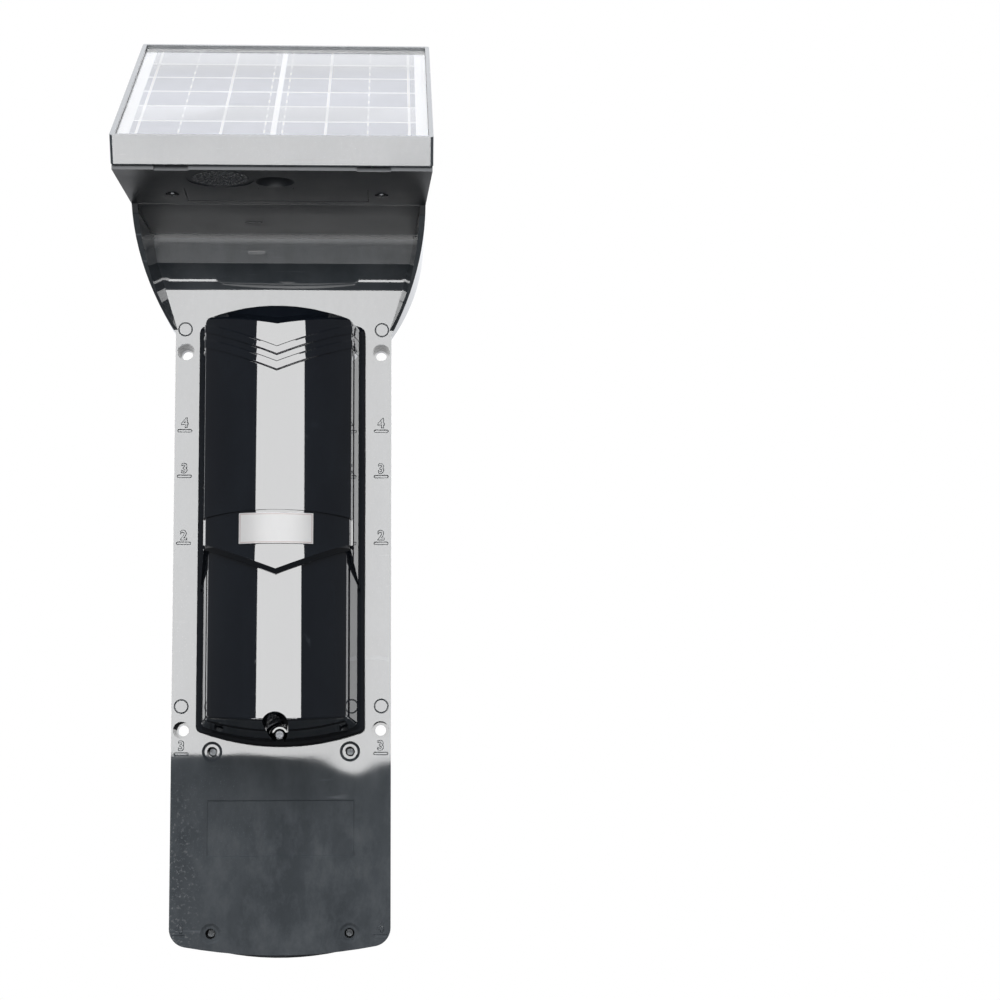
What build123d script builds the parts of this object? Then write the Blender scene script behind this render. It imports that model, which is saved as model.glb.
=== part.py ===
from build123d import *
import math
import os

# Solar powered infrared beam detector: a wall board whose top flares into a hooded head.
# The head carries a tilted solar panel and the battery, and the detector is screwed to the board.
# Millimetres. X is to the right seen from the front, -Y is towards the viewer and Z is up.
# The origin is the centre of the four wall holes, on the board's back face.
# A reach is a distance in front of the board's front face.

# Board and hood
plate_width = 131.4
plate_depth = 19.0
plate_bottom = -248.3
bottom_radius = 317.0
corner_radius = 11.0
face_wall = 2.8
side_wall = 2.5
rear_wall = 2.5
hood_rise = 53.4
flare_radius = 108.0
fin_drop = 60.5
fin_reach = 74.8
fin_bulge = 4.6
fin_rim = 3.3
pocket_drop = 63.0
pocket_foot_wall = 2.1
pocket_mid_wall = 12.5
pocket_top_wall = 6.1
cove_drop = 41.0
cove_radius = 25.0
cove_height = 20.0
band_reach = 8.8
band_drop = 5.3
ceiling_fall = 0.2
ceiling_wall = 2.6
ceiling_side_gap = 0.4

# Wall holes and the other marks on the board
hole_pitch_x = 119.0
hole_pitch_z = 230.0
hole_radius = 3.25
well_radius = 5.15
well_depth = 13.0
boss_wall = 2.0
case_screw_half = 41.2
case_screw_rows = (-127.9, -235.4)
case_recess_radius = 6.1
case_recess_depth = 1.0
case_recess_cone = 1.6
case_well_radius = 3.0
case_well_depth = 9.0
case_web = 2.5
plug_half = 59.9
plug_rows = (128.9, -100.8)
plug_radius = 4.0
plug_groove = 0.9
mark_depth = 0.5
mark_draft = 45.0
scale_half = 59.6
scale_rows = (66.3, 38.4, -2.4, -129.2, -237.0)
scale_length = 9.0
scale_height = 2.0
label_width = 88.0
label_height = 33.5
label_top = -156.7
label_depth = 0.7
vent_length = 10.5
vent_height = 2.4
vent_x = -16.5
band_slot_drop = 14.3
ceiling_slot_reach = 41.0

# Rear cover
lip_wall = 1.6
lip_height = 5.0
lip_gap = 0.2
drip_half = 50.0
drip_drop = 2.4
post_gap = 0.1

# Head and solar panel
tilt = 31.3
tray_width = 178.0
tray_length = 203.4
tray_height = 17.4
tray_corner = 2.0
tray_edge = 1.0
tray_rim = 2.6
wall_gap = 0.3
lip_drop = 1.7
head_tuck = 3.3
head_front_tuck = 0.3
head_front_reach = 157.0
head_wall = 2.5
glass_recess = 2.3
glass_thickness = 1.6
cell_thickness = 0.3
backing_thickness = 1.2
deck_wall = 2.1
panel_gap = 0.2
cell_rows = 6
cell_pitch = 31.5
cell_gap = 1.0
cell_inner = 1.6
cell_margin = 7.0

# Floor of the head
floor_wall = 2.5
floor_front = 153.4
seam_gap = 0.2
grille_x = -30.0
grille_reach = 133.5
grille_radius = 19.0
grille_relief = 0.4
grille_rings = 5
grille_ring_pitch = 3.6
grille_hole_radius = 0.9
speaker_radius = 17.5
speaker_seat = 3.0
floor_screw_half = 60.0
floor_screw_reach = 98.2
floor_pocket_radius = 4.0
floor_pocket_depth = 1.0
front_slot_inner = 46.5
front_slot_outer = 65.6
front_slot_depth = 2.0
scoop_reach = 127.5
scoop_radius = 12.5
scoop_depth = 6.5
door_half = 52.0
door_rear = 82.0
door_front = 110.7
door_tab_half = 9.6
door_tab_reach = 115.6
door_wall = 1.8
door_gap = 0.4
door_pin_radius = 0.6
door_pin_length = 1.2
door_pin_gap = 0.1
bay_wall = 1.6
bay_height = 25.0
battery_length = 98.0
battery_width = 25.0
battery_height = 21.0
battery_gap = 1.0

# Detector body
det_half = 50.0
det_bottom = -125.0
det_top = 135.6
det_rise = 9.0
det_corner = 4.0
base_reach = 14.0
base_wall = 2.5
gasket_thickness = 1.2
gasket_width = 2.0
gasket_inset = 0.5
skirt_inset = 0.4
skirt_height = 2.8
shoulder_inset = 1.5
cover_wall = 2.5
cover_edge = 1.6
upper_front = 87.0
upper_edge_reach = 64.7
upper_edge_half = 42.5
lower_front = 84.0
lower_edge_reach = 62.0
lower_edge_half = 40.0
front_bottom = -112.1
front_bottom_side = -108.7
front_top = 126.8
front_top_side = 123.8
seam_side = -13.0
seam_apex = -29.0
seam_side_slope = 0.44
chevrons = ((102.4, 97.9), (93.7, 88.9))
chevron_slope = 0.385
chevron_relief = 0.8
cap_apex = 115.8
cap_slope = 0.17
cap_taper = 36.0
cap_lead = 2.0
band_arc_mid = 8.2
band_arc_side = 4.9
band_line = -12.3
band_depth = 1.4
badge_half = 21.2
badge_bottom = -11.3
badge_top = 6.2
badge_proud = 0.5
screw_z = -118.4
scallop_seat = 19.0
scallop_seat_radius = 4.7
scallop_mouth_z = -114.4
scallop_mouth_radius = 8.2
scallop_wall = 2.0
cover_screw_head = 3.6
cover_screw_shank = 1.9

# Detector optics
axis_reach = 42.0
yaw_height = (18.0, -104.5)
tilt_height = (70.0, -54.5)
shelf_wall = 2.5
turntable_radius = 31.0
turntable_wall = 3.0
hub_radius = 5.0
hub_gap = 0.06
running_gap = 0.3
arm_inner = 26.0
arm_wall = 3.5
arm_half = 8.0
trunnion_radius = 2.0
trunnion_gap = 0.06
holder_half = 25.0
holder_half_height = 35.0
holder_front = 17.0
holder_rear = 12.0
holder_wall = 2.0
lens_wall = 2.2
lens_radius = 15.5
lens_bulge = 1.2
lens_offset = 17.0
board_wall = 1.6
rail_inner = 37.0
rail_outer = 42.0
rail_reach = 9.0

# Circuit boards
board_post = 8.0
charge_width = 110.0
charge_height = 56.0
charge_rise = 38.0
radio_width = 56.0
radio_height = 14.0
radio_rise = 83.0
signal_height = 110.0
signal_mid = -42.0

# Fasteners and wiring parts
screw_head_radius = 2.8
screw_head_height = 2.0
screw_shank_radius = 1.45
pilot_gap = 0.05
clear_gap = 0.25
grommet_radius = 7.0
grommet_bore = 4.0
grommet_flange = 1.5
base_screw_half = 30.0
base_screw_rows = (112.0, -92.0)
base_boss_radius = 4.5

half = plate_width / 2
head_base = det_top + hood_rise
head_half = tray_width / 2 - head_tuck
head_front_half = tray_width / 2 - head_front_tuck
fin_foot = head_base - fin_drop
fin_edge_half = head_half - fin_rim
pocket_foot = head_base - pocket_drop
pocket_foot_half = half - pocket_foot_wall
pocket_mid_half = head_half - pocket_mid_wall
pocket_top_half = head_half - pocket_top_wall
cove_start = head_base - cove_drop
cove_top = cove_start + cove_height
band_top = head_base - band_drop
cell_outer = tray_width / 2 - tray_rim - cell_margin
cosine = math.cos(math.radians(tilt))
sine = math.sin(math.radians(tilt))
lip_y = -(tray_length * cosine + tray_height * sine + wall_gap)
lip_z = head_base + lip_drop + tray_height * cosine
laminate = backing_thickness + cell_thickness + glass_thickness
deck_depth = glass_recess + laminate + deck_wall


def y_at(reach):
    return -(plate_depth + reach)


def side(reach, z):
    """A point of a side view, drawn on Plane.YZ."""
    return (y_at(reach), z)


def facing(x, reach, z):
    """A plane that looks at the viewer, with its local y upwards."""
    return Plane(origin=(x, y_at(reach), z), x_dir=(1, 0, 0), z_dir=(0, -1, 0))


def under(x, reach, z):
    """A plane that looks down, with its local y towards the viewer."""
    return Plane(origin=(x, y_at(reach), z), x_dir=(1, 0, 0), z_dir=(0, 0, -1))


def slope_plane():
    """The plane of the tray's top, its local y running up the slope from the front lip."""
    return Plane(origin=(0, lip_y, lip_z), x_dir=(1, 0, 0), z_dir=(0, -sine, cosine))


def on_slope(along, depth):
    """A point of a side view that lies along the slope and below the tray's top plane."""
    return (lip_y + along * cosine + depth * sine, lip_z + along * sine - depth * cosine)


def across(edges, half_width):
    """A side view drawn on Plane.YZ, made solid to both sides."""
    face = make_face(edges)
    return extrude(Plane.YZ * face, half_width, both=True)


def rod(plane, radius, length):
    return plane * Cylinder(radius, length, align=(Align.CENTER, Align.CENTER, Align.MIN))


def front_outline(inset, top):
    """The board and the flared hood seen from the front, set in by a wall."""
    reach_out = head_half - half
    drop = math.sqrt((flare_radius - inset) ** 2 - (flare_radius - reach_out - inset) ** 2)
    sweep_angle = math.degrees(math.asin(drop / (flare_radius - inset)))
    flare_foot = head_base - drop
    height = flare_foot - plate_bottom
    board = Pos(0, plate_bottom + height / 2) * Rectangle(2 * (half - inset), height)
    board = board & (Pos(0, plate_bottom + bottom_radius) * Circle(bottom_radius - inset))
    board = fillet(board.vertices().sort_by(Axis.Y)[:2], corner_radius - inset)
    centre = head_half - flare_radius
    wide = head_half - inset
    right = CenterArc((centre, head_base), flare_radius - inset, -sweep_angle, sweep_angle)
    left = CenterArc((-centre, head_base), flare_radius - inset, 180, sweep_angle)
    rim = Line((wide, head_base), (-wide, head_base))
    foot = Line((-(half - inset), flare_foot), (half - inset, flare_foot))
    outline = board + make_face([right, rim, left, foot])
    if top > head_base:
        outline += Pos(0, (head_base + top) / 2) * Rectangle(2 * wide, top - head_base)
    return outline


def sunk(x, z, outline, depth):
    """A recess in the board's face whose walls slope in, as they do to leave the mould."""
    face = Plane(origin=(x, y_at(0), z), x_dir=(1, 0, 0), z_dir=(0, 1, 0))
    return extrude(face * outline, depth, taper=mark_draft)


def ring_groove(x, z, radius):
    """A round V groove in the board's face."""
    wide = plug_groove / 2
    profile = Polyline((radius - wide, 0.1), (radius + wide, 0.1), (radius + wide, 0), (radius, -wide),
                       (radius - wide, 0), (radius - wide, 0.1))
    return facing(x, 0, z) * revolve(Plane.XZ * make_face(profile), Axis.Z)


def corner_points(half_x, rows):
    return [(s * half_x, z) for z in rows for s in (-1, 1)]


def fin_edge():
    """The hood's front edge seen from the side, bulging forwards and down."""
    run = math.hypot(fin_reach, head_base - fin_foot)
    nx, nz = (head_base - fin_foot) / run, -fin_reach / run
    middle = side(fin_reach / 2 + nx * fin_bulge, (fin_foot + head_base) / 2 + nz * fin_bulge)
    return ThreePointArc(side(0, fin_foot), middle, side(fin_reach, head_base))


def cove_arc(inset, end_reach):
    """The arc from the board's face into the hood, about a centre in front of it."""
    radius = cove_radius + inset
    def point(angle):
        return side(cove_radius - radius * math.cos(angle), cove_start + radius * math.sin(angle))
    last = math.acos((cove_radius - end_reach) / radius)
    return ThreePointArc(point(0), point(last / 2), point(last)), point(last)


def hood_pocket():
    """The space between the hood's fins, in front of the cove, the upright band and the ceiling."""
    root = make_face([
        Line((-pocket_foot_half, pocket_foot), (pocket_foot_half, pocket_foot)),
        ThreePointArc((pocket_foot_half, pocket_foot), (pocket_mid_half, (pocket_foot + head_base) / 2),
                      (pocket_top_half, head_base)),
        Line((pocket_top_half, head_base), (-pocket_top_half, head_base)),
        ThreePointArc((-pocket_top_half, head_base), (-pocket_mid_half, (pocket_foot + head_base) / 2),
                      (-pocket_foot_half, pocket_foot)),
    ])
    mouth = Pos(0, (pocket_foot + head_base) / 2) * Rectangle(2 * fin_edge_half, head_base - pocket_foot)
    space = loft([facing(0, 0, 0) * root.face(), facing(0, fin_reach, 0) * mouth.face()], ruled=True)
    cove_reach = cove_radius - math.sqrt(cove_radius ** 2 - (cove_top - cove_start) ** 2)
    arc, arc_end = cove_arc(0, cove_reach)
    ahead = across([
        arc,
        Polyline(arc_end, side(band_reach, band_top), side(fin_reach, head_base - ceiling_fall),
                 side(fin_reach + 5, head_base - ceiling_fall), side(fin_reach + 5, pocket_foot - 5),
                 side(0, pocket_foot - 5), side(0, cove_start)),
    ], head_half)
    return space & ahead


def ceiling_z(reach):
    slope = (head_base - ceiling_fall - band_top) / (fin_reach - band_reach)
    return band_top + (reach - band_reach) * slope


def make_front_housing():
    outline = front_outline(0, head_base)
    depth = plate_depth + fin_reach + 1
    block = extrude(facing(0, -plate_depth, 0) * outline, depth)
    back = rear_wall - plate_depth
    envelope = across([
        fin_edge(),
        Polyline(side(fin_reach, head_base), side(back, head_base),
                 side(back, plate_bottom - 5), side(0, plate_bottom - 5), side(0, fin_foot)),
    ], head_half + 1)
    outer = block & envelope
    inner_reach = band_reach - ceiling_wall
    arc, arc_end = cove_arc(face_wall, inner_reach)
    top_reach = band_reach + (head_base - ceiling_wall - band_top) * (fin_reach - band_reach) / (
        head_base - ceiling_fall - band_top)
    behind = across([
        arc,
        Polyline(arc_end, side(inner_reach, ceiling_z(inner_reach) + ceiling_wall),
                 side(top_reach, head_base), side(top_reach, head_base + 5),
                 side(back - 1, head_base + 5), side(back - 1, plate_bottom - 5),
                 side(-face_wall, plate_bottom - 5), side(-face_wall, cove_start)),
    ], head_half)
    hollow = extrude(facing(0, -plate_depth, 0) * front_outline(side_wall, head_base + 5), depth)
    body = outer - hood_pocket() - (hollow & behind)
    rib_half = head_half - head_wall - ceiling_side_gap
    body += across([
        Polyline(side(top_reach - 3, head_base - 1.5), side(fin_reach, head_base - ceiling_fall),
                 side(fin_reach, head_base + ceiling_wall - ceiling_fall), side(top_reach, head_base + 0.01),
                 side(top_reach - 3, head_base - 1.5)),
    ], rib_half - 1) & (Pos(0, 0, head_base) * Box(2 * rib_half, 400, 20))
    bosses = Part()
    for x, z in corner_points(hole_pitch_x / 2, (hole_pitch_z / 2, -hole_pitch_z / 2)):
        bosses += rod(facing(x, back, z), well_radius + boss_wall, -back)
    for x, z in corner_points(case_screw_half, case_screw_rows):
        seat = -case_recess_depth - case_well_depth - case_web
        bosses += rod(facing(x, seat, z), case_recess_radius + 1, -seat)
    for x, z in corner_points(base_screw_half, base_screw_rows):
        bosses += rod(facing(x, -10, z), base_boss_radius, 10)
    body += bosses & outer
    for x, z in corner_points(hole_pitch_x / 2, (hole_pitch_z / 2, -hole_pitch_z / 2)):
        body -= rod(facing(x, -well_depth, z), well_radius, well_depth + 1)
        body -= rod(facing(x, back - 1, z), hole_radius, plate_depth)
    for x, z in corner_points(case_screw_half, case_screw_rows):
        body -= facing(x, 0, z) * Cone(
            case_recess_radius - case_recess_cone, case_recess_radius, case_recess_depth,
            align=(Align.CENTER, Align.CENTER, Align.MAX))
        body -= rod(facing(x, -case_recess_depth - case_well_depth, z), case_well_radius, case_well_depth + 1)
        body -= rod(facing(x, back, z), screw_shank_radius + clear_gap, plate_depth)
    for x, z in corner_points(base_screw_half, base_screw_rows):
        body -= rod(facing(x, -9, z), screw_shank_radius + pilot_gap, 10)
    for x, z in corner_points(plug_half, plug_rows):
        body -= ring_groove(x, z, plug_radius)
    body -= rod(facing(0, -face_wall - 1, 0), grommet_radius, face_wall + 2)
    for x, z in corner_points(scale_half, scale_rows):
        body -= sunk(x, z, SlotOverall(scale_length, scale_height), mark_depth)
    body -= sunk(0, label_top - label_height / 2, Rectangle(label_width, label_height), label_depth)
    vent = SlotOverall(vent_length, vent_height)
    body -= extrude(facing(vent_x, band_reach - mark_depth, head_base - band_slot_drop) * vent, 2)
    body -= extrude(under(vent_x, ceiling_slot_reach, ceiling_z(ceiling_slot_reach) - 2) * vent, -8)
    return body


def make_rear_cover():
    outline = front_outline(0, head_base)
    drip_radius = (drip_half ** 2 + drip_drop ** 2) / (2 * drip_drop) / 3
    lens = (Pos(0, plate_bottom - drip_drop + drip_radius) * Circle(drip_radius)) & (
        Pos(0, plate_bottom) * Rectangle(2 * drip_half, 16))
    cover = extrude(facing(0, -plate_depth, 0) * (outline + lens), rear_wall)
    ring = front_outline(side_wall + lip_gap, head_base - 8) - front_outline(
        side_wall + lip_gap + lip_wall, head_base - 8 - lip_wall)
    rim = extrude(facing(0, -plate_depth + rear_wall, 0) * ring, lip_height)
    for x, z in corner_points(hole_pitch_x / 2, (hole_pitch_z / 2, -hole_pitch_z / 2)):
        rim -= rod(facing(x, -plate_depth, z), well_radius + boss_wall + lip_gap, plate_depth)
        cover -= rod(facing(x, -plate_depth - 1, z), hole_radius, rear_wall + 2)
    for x, z in corner_points(case_screw_half, case_screw_rows):
        rim -= rod(facing(x, -plate_depth, z), case_recess_radius + 1 + lip_gap, plate_depth)
    cover += rim
    seat = -case_recess_depth - case_well_depth - case_web - post_gap
    for x, z in corner_points(case_screw_half, case_screw_rows):
        cover += rod(facing(x, -plate_depth + rear_wall - 0.5, z), 3.5, seat + plate_depth - rear_wall + 0.5)
        cover -= rod(facing(x, -plate_depth + 1, z), screw_shank_radius + pilot_gap, plate_depth)
    for x in (-half / 3, half / 3):
        stiffener = Box(1.6, 4.0, 150.0)
        cover += Pos(x, -rear_wall - 1.9, 30) * stiffener
    return cover


def head_plan(inset, reach):
    """The head seen from above, from the wall face to a reach in front of the board."""
    front_half = head_half + (head_front_half - head_half) * (reach - fin_reach) / (head_front_reach - fin_reach)
    right = [(front_half - inset, y_at(reach)), (head_half - inset, y_at(fin_reach)), (head_half - inset, 5)]
    left = [(-x, y) for x, y in reversed(right)]
    return Polygon(*right, *left, align=None)


def make_head_shell():
    tray = extrude(RectangleRounded(tray_width, tray_length, tray_corner), -tray_height)
    tray = fillet(tray.faces().sort_by(Axis.Z)[0].edges(), tray_edge)
    tray = slope_plane() * Pos(0, tray_length / 2) * tray
    top = head_base + 120
    step = floor_wall + seam_gap
    wedge = across([Polyline(
        (0, head_base + seam_gap), (y_at(fin_reach + seam_gap), head_base + seam_gap),
        (y_at(fin_reach + seam_gap), head_base + step), (y_at(floor_front - 2), head_base + step),
        on_slope(4, tray_height - 5), on_slope(tray_length - 4, tray_height - 5),
        on_slope(tray_length - wall_gap, tray_height - 0.1),
        (0, on_slope(tray_length, tray_height)[1] - 4),
        (0, head_base + seam_gap),
    )], head_front_half)
    wedge = wedge & extrude(Plane.XY.offset(head_base - 10) * head_plan(0, head_front_reach), top)
    shell = wedge + tray
    hollow = across([Polyline(
        on_slope(tray_rim, deck_depth), on_slope(tray_rim, tray_height - 0.2),
        (on_slope(tray_rim, tray_height)[0], head_base - 5),
        (-head_wall, head_base - 5), (-head_wall, on_slope(tray_length, tray_height)[1] - 6),
        on_slope(tray_length - tray_rim, tray_height - 1), on_slope(tray_length - tray_rim, deck_depth),
        on_slope(tray_rim, deck_depth),
    )], head_front_half)
    hollow = hollow & extrude(Plane.XY.offset(head_base - 10) * head_plan(head_wall, head_front_reach), top)
    shell -= hollow
    opening = Box(tray_width - 2 * tray_rim, tray_length - 2 * tray_rim, glass_recess + laminate,
                  align=(Align.CENTER, Align.MIN, Align.MAX))
    shell -= slope_plane() * Pos(0, tray_rim, 0) * opening
    roof = across([Polyline(
        on_slope(tray_rim, deck_depth - 1), (y_at(head_front_reach - 6), head_base + step),
        (-head_wall + 1, head_base + step), on_slope(tray_length - tray_rim, deck_depth - 1),
        on_slope(tray_rim, deck_depth - 1),
    )], head_half)
    foot = head_base + floor_wall
    for s in (-1, 1):
        post = Pos(s * floor_screw_half, y_at(floor_screw_reach), foot) * Cylinder(
            4, 80, align=(Align.CENTER, Align.CENTER, Align.MIN))
        shell += post & roof
        shell -= Pos(s * floor_screw_half, y_at(floor_screw_reach), foot - 1) * Cylinder(
            screw_shank_radius + pilot_gap, 13, align=(Align.CENTER, Align.CENTER, Align.MIN))
    charge_z = head_base + charge_rise
    posts = corner_points(charge_width / 2 - 10, (charge_z - charge_height / 2 + 7, charge_z + charge_height / 2 - 7))
    posts += corner_points(radio_width / 2 - 8, (head_base + radio_rise,))
    for x, z in posts:
        shell += Pos(x, -head_wall + 0.5, z) * Rot(90, 0, 0) * Cylinder(
            2.5, board_post + 0.5, align=(Align.CENTER, Align.CENTER, Align.MIN))
    return shell


def make_panel():
    """Backing board, cells and glass of the solar panel, stacked in the tray."""
    width = tray_width - 2 * tray_rim - 2 * panel_gap
    length = tray_length - 2 * tray_rim - 2 * panel_gap
    plane = slope_plane() * Pos(0, tray_rim + panel_gap, 0)
    align = (Align.CENTER, Align.MIN, Align.MAX)
    glass = plane * Pos(0, 0, -glass_recess) * Box(width, length, glass_thickness, align=align)
    cell_top = -glass_recess - glass_thickness
    backing = plane * Pos(0, 0, cell_top - cell_thickness) * Box(width, length, backing_thickness, align=align)
    cell_width = cell_outer - cell_inner
    first = (length - (cell_rows - 1) * cell_pitch) / 2
    cells = []
    for row in range(cell_rows):
        for s in (-1, 1):
            place = Pos(s * (cell_inner + cell_width / 2), first + row * cell_pitch, cell_top)
            cells.append(plane * place * Box(
                cell_width, cell_pitch - cell_gap, cell_thickness,
                align=(Align.CENTER, Align.CENTER, Align.MAX)))
    return glass, Compound(cells), backing


def door_outline(grow):
    """The battery door with its latch tab, seen from below."""
    length = door_front - door_rear
    body = Pos(0, (door_front + door_rear) / 2) * Rectangle(2 * (door_half + grow), length + 2 * grow)
    tab_length = door_tab_reach - door_front + 3
    tab = Pos(0, door_front - 3 + (tab_length + grow) / 2) * Rectangle(
        2 * (door_tab_half + grow), tab_length + grow)
    return body + tab


def door_axis():
    return door_rear + door_wall / 2, head_base + door_wall / 2 + 0.1


def make_head_floor():
    reach_rear = fin_reach + seam_gap
    plan = head_plan(0, floor_front) & (
        Pos(0, y_at((reach_rear + floor_front) / 2)) * Rectangle(400, floor_front - reach_rear))
    panel = extrude(Plane.XY.offset(head_base) * plan, floor_wall)
    scoop_drop = scoop_radius - scoop_depth
    housing = Pos(0, y_at(scoop_reach), head_base - scoop_drop) * Rot(90, 0, 0) * Sphere(scoop_radius + bay_wall)
    housing = housing & (Pos(0, y_at(scoop_reach), head_base + floor_wall - 1) * Box(
        60, 60, 20, align=(Align.CENTER, Align.CENTER, Align.MIN)))
    bay_low = door_rear - door_gap - bay_wall
    bay_high = door_front + door_gap + bay_wall
    bay_x = 2 * (door_half + door_gap + bay_wall)
    bay_y = y_at((bay_low + bay_high) / 2)
    bay = Pos(0, bay_y, head_base + floor_wall - 0.5) * Box(
        bay_x, bay_high - bay_low, bay_height, align=(Align.CENTER, Align.CENTER, Align.MIN))
    seat = Pos(grille_x, y_at(grille_reach), head_base + floor_wall - 0.5) * (
        Cylinder(speaker_radius + 2.0, speaker_seat + 0.5, align=(Align.CENTER, Align.CENTER, Align.MIN))
        - Cylinder(speaker_radius + 0.3, speaker_seat + 2, align=(Align.CENTER, Align.CENTER, Align.MIN)))
    seat = seat & (Pos(grille_x, y_at(grille_reach), head_base) * Box(60, 2 * speaker_radius + 2.2, 30))
    panel += housing + bay + seat
    panel -= Pos(0, bay_y, head_base + floor_wall - 1) * Box(
        bay_x - 2 * bay_wall, bay_high - bay_low - 2 * bay_wall, bay_height - bay_wall + 0.5,
        align=(Align.CENTER, Align.CENTER, Align.MIN))
    panel -= Pos(0, y_at(scoop_reach), head_base - scoop_drop) * Rot(90, 0, 0) * Sphere(scoop_radius)
    panel -= extrude(under(0, 0, head_base - 1) * door_outline(door_gap), -(floor_wall + 1))
    axis_reach_door, axis_z = door_axis()
    for s in (-1, 1):
        panel -= Pos(s * door_half, y_at(axis_reach_door), axis_z) * Rot(0, 90, 0) * Cylinder(
            door_pin_radius + door_pin_gap, 2 * (door_gap + door_pin_length + 0.3))
        pocket = under(s * floor_screw_half, floor_screw_reach, head_base + floor_pocket_depth)
        panel -= rod(pocket, floor_pocket_radius, 3)
        panel -= Pos(s * floor_screw_half, y_at(floor_screw_reach), head_base) * Cylinder(
            screw_shank_radius + clear_gap, 10)
        slot_mid = s * (front_slot_inner + front_slot_outer) / 2
        panel -= Pos(slot_mid, y_at(floor_front), head_base) * Box(
            front_slot_outer - front_slot_inner, 2 * front_slot_depth, 10)
    relief = under(grille_x, grille_reach, head_base + grille_relief)
    panel -= rod(relief, grille_radius, 3)
    centres = [(0, 0)]
    for ring in range(1, grille_rings):
        for k in range(6 * ring):
            angle = 2 * math.pi * k / (6 * ring)
            centres.append((ring * grille_ring_pitch * math.cos(angle), ring * grille_ring_pitch * math.sin(angle)))
    hole = RegularPolygon(grille_hole_radius, 8)
    holes = Sketch() + [Pos(x, y) * hole for x, y in centres]
    return panel - extrude(under(grille_x, grille_reach, head_base - 1) * holes, -(floor_wall + 2))


def make_battery_door():
    axis_r, axis_z = door_axis()
    plate = extrude(under(0, 0, head_base + 0.1) * door_outline(0), -door_wall)
    rear_edges = plate.edges().filter_by(Axis.X).sort_by(Axis.Y)[-2:]
    door = fillet(rear_edges, door_wall / 2 - 0.05)
    for s in (-1, 1):
        door += Pos(s * (door_half + (door_gap + door_pin_length) / 2 - 1), y_at(axis_r), axis_z) * Rot(
            0, 90, 0) * Cylinder(door_pin_radius, door_gap + door_pin_length + 2)
    ribs = Pos(0, y_at((door_rear + door_front) / 2), head_base + 0.1 + door_wall) * Box(
        2 * door_half - 20, 1.2, 1.0, align=(Align.CENTER, Align.CENTER, Align.MIN))
    return door + ribs


def make_battery():
    middle = (door_rear + door_front) / 2
    pack = Pos(0, y_at(middle), head_base + 0.1 + door_wall + 1.0 + battery_gap) * extrude(
        RectangleRounded(battery_length, battery_width, 4), battery_height)
    return fillet(pack.faces().sort_by(Axis.Z)[-1].edges(), 2)


def make_speaker():
    base = head_base + floor_wall
    profile = make_face(Polyline(
        (0, 0), (speaker_radius, 0), (speaker_radius, 1.4), (speaker_radius - 3, 3.0),
        (10, 4.0), (10, 9.5), (0, 9.5), (0, 0)))
    body = revolve(Plane.XZ * profile, Axis.Z)
    return Pos(grille_x, y_at(grille_reach), base) * body


def make_charge_board():
    face = -head_wall - board_post
    middle = head_base + charge_rise
    board = Pos(0, face - board_wall / 2, middle) * Box(charge_width, board_wall, charge_height)
    parts = [(-38, 13, 18, 9, 12), (-10, 9, 14, 8, 14), (18, 13, 12, 6, 12), (40, -13, 20, 9, 10),
             (-34, -15, 24, 5, 10), (2, -15, 16, 3, 16)]
    for x, up, width, depth, height in parts:
        board += Pos(x, face - board_wall - depth / 2 + 0.1, middle + up) * Box(width, depth, height)
    return board


def make_radio():
    face = -head_wall - board_post
    middle = head_base + radio_rise
    board = Pos(0, face - board_wall / 2, middle) * Box(radio_width, board_wall, radio_height)
    board += Pos(-6, face - board_wall - 1.4, middle) * Box(18, 3, 11)
    whip = Pos(radio_width / 2 + 0.2, face - board_wall / 2, middle) * Rot(0, 90, 0) * Cylinder(
        2.4, 40, align=(Align.CENTER, Align.CENTER, Align.MIN))
    return board, whip


def pan_screw(head_radius, head_height, shank_radius, shank_length):
    """A pan head screw with a cross recess, its head above z 0 and its shank below."""
    head = Cylinder(head_radius, head_height, align=(Align.CENTER, Align.CENTER, Align.MIN))
    head = fillet(head.edges().sort_by(Axis.Z)[-1], head_height * 0.45)
    width = head_radius * 0.28
    depth = head_height * 0.55
    align = (Align.CENTER, Align.CENTER, Align.MAX)
    for turn in (0, 90):
        head -= Pos(0, 0, head_height) * Rot(0, 0, turn) * Box(head_radius * 1.25, width, depth, align=align)
    return head + Cylinder(shank_radius, shank_length, align=align)


def make_screws():
    screw = pan_screw(screw_head_radius, screw_head_height, screw_shank_radius, 7.0)
    seat = -case_recess_depth - case_well_depth
    case = Compound([facing(x, seat, z) * screw for x, z in corner_points(case_screw_half, case_screw_rows)])
    base = Compound([facing(x, base_wall, z) * screw for x, z in corner_points(base_screw_half, base_screw_rows)])
    floor = Compound([under(s * floor_screw_half, floor_screw_reach, head_base + floor_pocket_depth) * screw
                      for s in (-1, 1)])
    return case, base, floor


def det_outline(inset, plane):
    """The detector seen from the front: straight sides between a lower and an upper arc."""
    side_x = det_half - inset
    low, high = det_bottom + inset, det_top - inset
    return plane * loop_outline(side_x, low, low + det_rise, high, high - det_rise, det_corner)


def loop_outline(side_x, low_mid, low_side, high_mid, high_side, corner):
    face = make_face([
        Line((side_x, low_side), (side_x, high_side)),
        ThreePointArc((side_x, high_side), (0, high_mid), (-side_x, high_side)),
        Line((-side_x, high_side), (-side_x, low_side)),
        ThreePointArc((-side_x, low_side), (0, low_mid), (side_x, low_side)),
    ])
    return fillet(face.vertices(), corner)


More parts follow.
